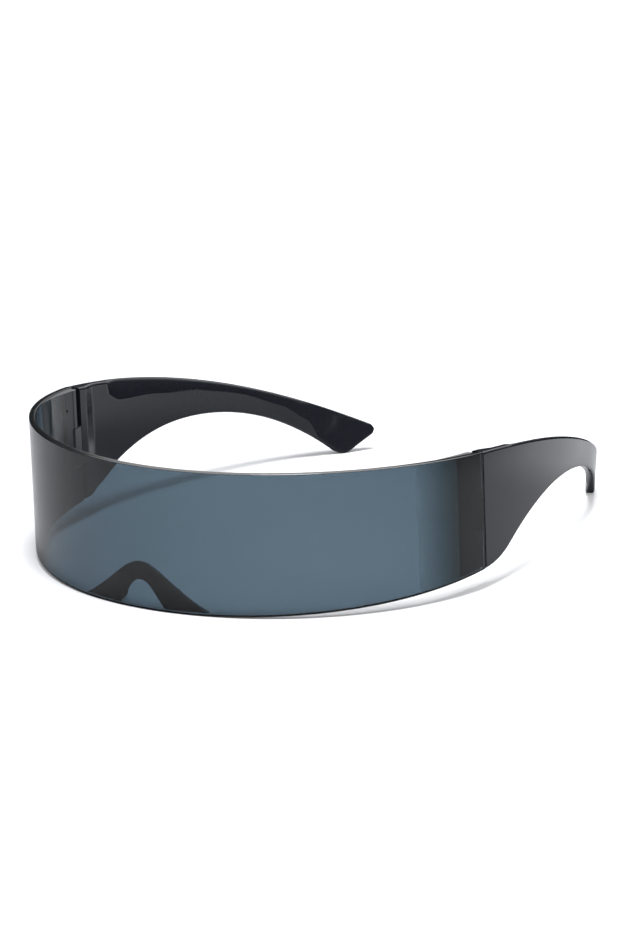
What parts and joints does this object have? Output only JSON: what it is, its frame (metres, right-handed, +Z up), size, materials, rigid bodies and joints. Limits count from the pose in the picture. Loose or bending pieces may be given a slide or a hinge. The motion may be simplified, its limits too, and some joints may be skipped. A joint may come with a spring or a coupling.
{
  "type": "shield sunglasses",
  "caption": "Wrap-around shield sunglasses with one tinted cylindrical lens and two folding temples.",
  "frame": {"origin": "middle of the bounding box, on the surface that the glasses stand on", "axes": "+Y back along the temples, +X to the wearer's left, +Z up; the front of the lens faces -Y"},
  "size_m": [0.1452, 0.1751, 0.0415],
  "materials": {
    "lens": "gloss, tinted",
    "frame": "gloss",
    "nose": "satin",
    "pin": "satin"
  },
  "bodies": {
    "front": {"shield_lens": "lens", "nose_piece": "nose", "endpiece_left": "frame", "endpiece_right": "frame", "hinge_pin_left": "pin", "hinge_pin_right": "pin"},
    "left_temple": {"temple_left": "frame"},
    "right_temple": {"temple_right": "frame"}
  },
  "joints": [
    {"name": "left_hinge", "type": "hinge", "parent": "front", "child": "left_temple", "pos_m": [0.06887, -0.02504, 0.0219], "axis": [0, -0.0307, 0.9995], "range_deg": [0, 90]},
    {"name": "right_hinge", "type": "hinge", "parent": "front", "child": "right_temple", "pos_m": [-0.06887, -0.02504, 0.0219], "axis": [0, 0.0307, -0.9995], "range_deg": [0, 78]}
  ]
}
